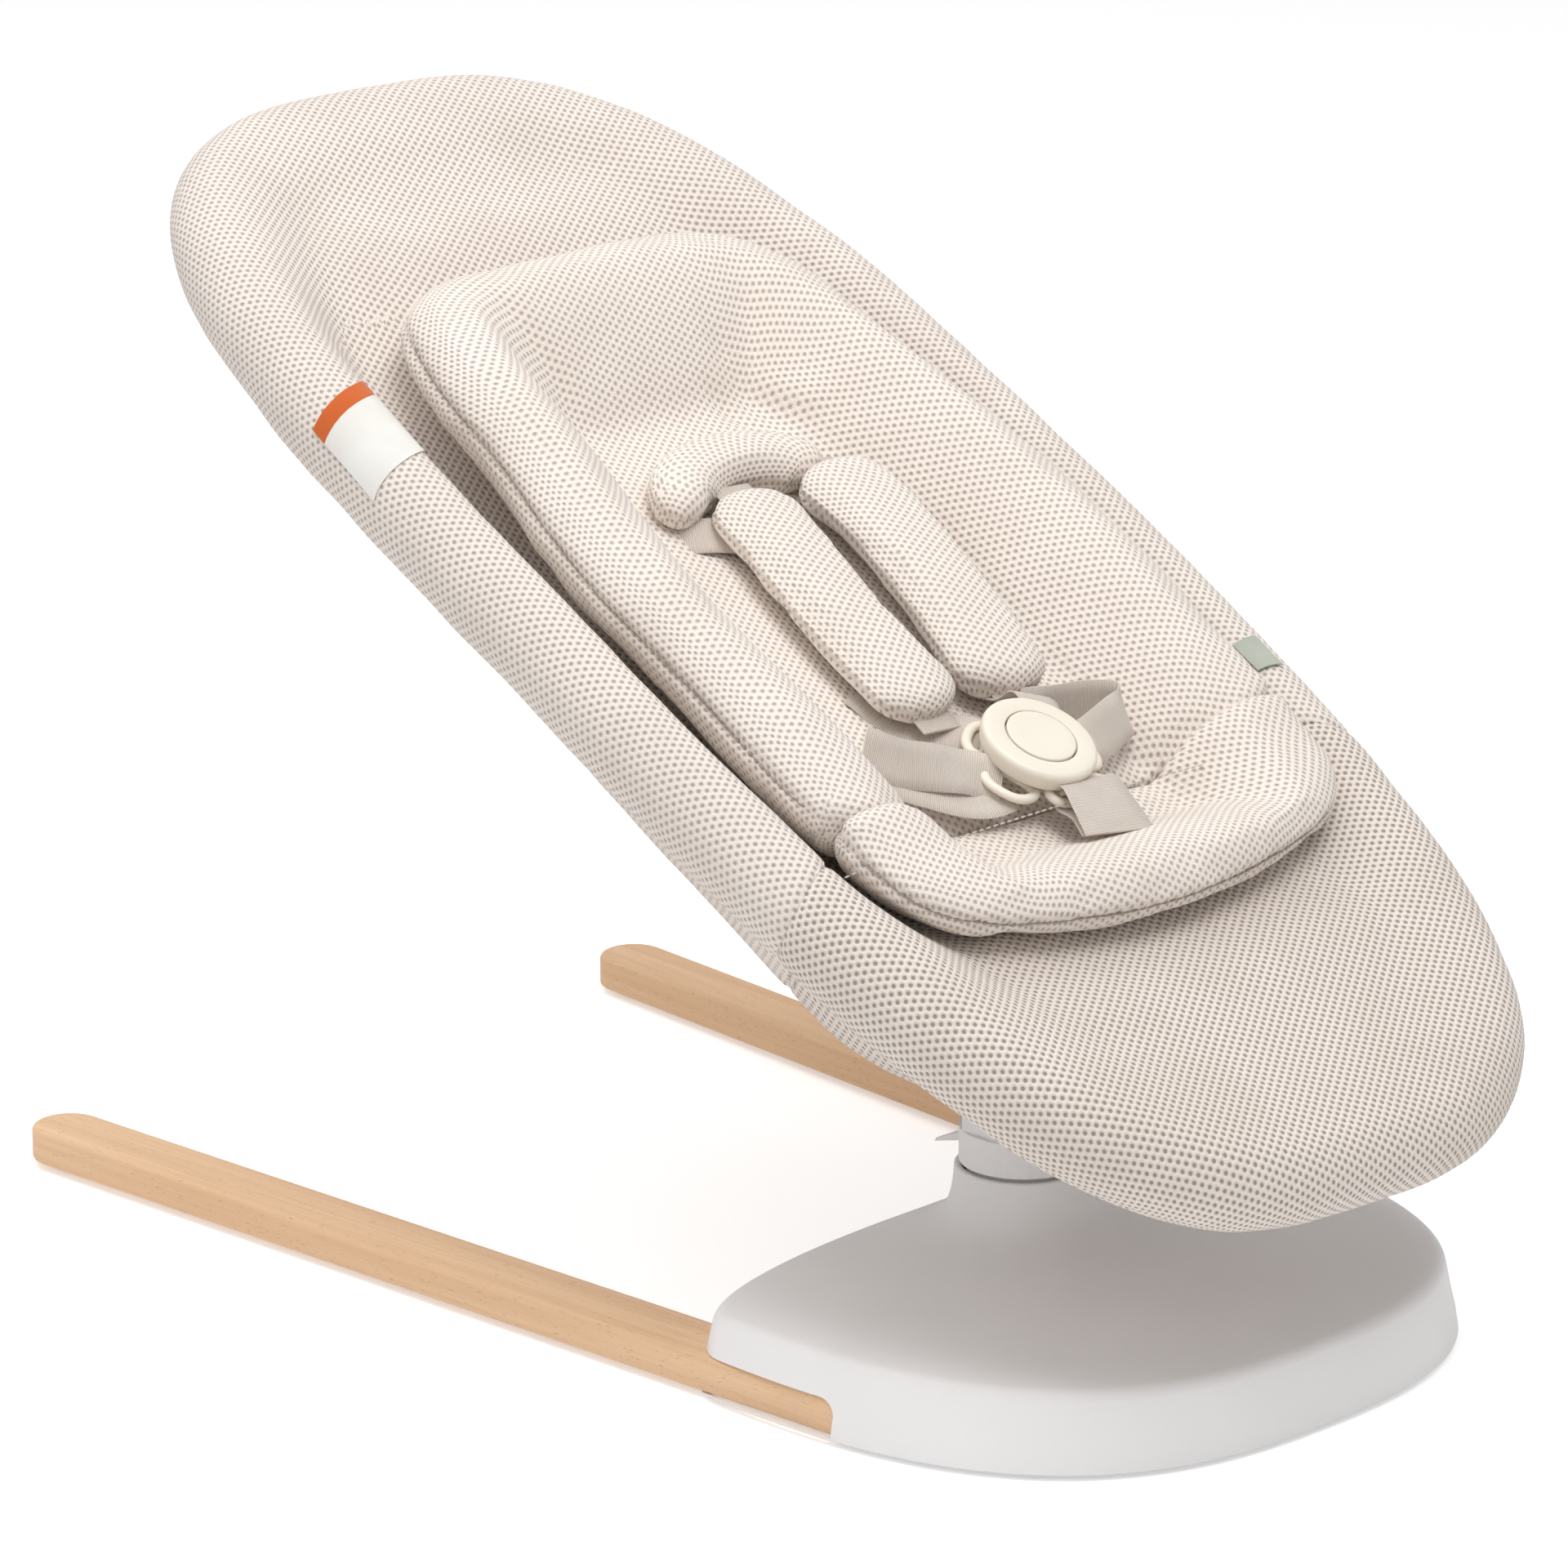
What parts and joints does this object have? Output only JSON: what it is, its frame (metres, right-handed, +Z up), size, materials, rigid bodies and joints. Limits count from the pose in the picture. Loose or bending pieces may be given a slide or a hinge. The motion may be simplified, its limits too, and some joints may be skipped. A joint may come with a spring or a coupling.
{
  "type": "baby bouncer seat",
  "caption": "Reclining padded baby seat with insert and harness, bouncing on a sprung post over a moulded base with two wooden floor legs.",
  "frame": {"origin": "on the floor, under the middle of the whole object", "axes": "+Z up, +Y toward the head end of the seat and the rear ends of the legs, -Y toward the foot end and the base, +X across to the seated child's left"},
  "size_m": [0.4556, 0.7808, 0.56],
  "materials": {
    "housing": "fine matte moulded, cool white",
    "collar": "matte moulded, white",
    "wood": "clear matte lacquered beech",
    "rubber": "matte dark rubber",
    "steel": "grey powder coat",
    "zinc": "zinc plated",
    "aluminium": "satin tube",
    "foam": "closed-cell foam",
    "cover_upper": "cream air mesh with small staggered holes",
    "cover_lower": "cream air mesh with square holes",
    "insert": "cream padded air mesh",
    "webbing": "ribbed warm grey webbing",
    "buckle": "satin cream moulded"
  },
  "bodies": {
    "base": {"base_housing": "housing", "base_pan": "housing", "base_pad_1": "rubber", "base_pad_2": "rubber", "base_pad_3": "rubber", "pan_screw_1": "zinc", "pan_screw_2": "zinc", "pan_screw_3": "zinc", "pan_screw_4": "zinc", "steel_chassis": "steel", "bounce_axle": "zinc", "wood_leg_left": "wood", "wood_leg_right": "wood", "leg_pad_left": "rubber", "leg_pad_right": "rubber", "leg_bolt_left_1": "zinc", "leg_bolt_left_2": "zinc", "leg_bolt_right_1": "zinc", "leg_bolt_right_2": "zinc"},
    "rocker": {"pivot_post": "collar", "recline_axle": "zinc", "lever_pin": "zinc", "bounce_spring_left": "steel", "bounce_spring_right": "steel"},
    "lever": {"recline_lever": "collar"},
    "seat": {"seat_hub": "housing", "hub_screw_1": "zinc", "hub_screw_2": "zinc", "yoke_tube": "aluminium", "side_clamp_left": "housing", "side_clamp_right": "housing", "frame_tube": "aluminium", "foam_sleeve_head": "foam", "foam_sleeve_foot": "foam", "seat_cover_upper": "cover_upper", "seat_cover_lower": "cover_lower", "insert_back": "insert", "insert_seat": "insert", "harness_yoke": "insert", "shoulder_pad_left": "insert", "shoulder_pad_right": "insert", "shoulder_strap_left": "webbing", "shoulder_strap_right": "webbing", "waist_strap_left": "webbing", "waist_strap_right": "webbing", "crotch_strap": "webbing", "strap_loop_upper_left": "buckle", "strap_loop_upper_right": "buckle", "strap_loop_lower_left": "buckle", "strap_loop_lower_right": "buckle", "strap_loop_crotch": "buckle", "buckle_body": "buckle"},
    "button": {"buckle_button": "buckle"}
  },
  "joints": [
    {"name": "bounce", "type": "hinge", "parent": "base", "child": "rocker", "pos_m": [0, -0.1409, 0.062], "axis": [1, 0, 0], "range_deg": [-3, 3], "stiffness_Nm_per_rad": 150, "springref_deg": 1.49},
    {"name": "recline", "type": "hinge", "parent": "rocker", "child": "seat", "pos_m": [0, -0.1409, 0.118], "axis": [1, 0, 0], "range_deg": [-12, 10]},
    {"name": "recline_release", "type": "hinge", "parent": "rocker", "child": "lever", "pos_m": [0, -0.1189, 0.094], "axis": [1, 0, 0], "range_deg": [0, 12], "stiffness_Nm_per_rad": 0.5, "springref_deg": -5.73},
    {"name": "buckle_press", "type": "slide", "parent": "seat", "child": "button", "axis": [0, 0.4706, -0.8823], "range_m": [0, 0.0025], "stiffness_N_per_m": 400, "springref_m": -0.001}
  ]
}
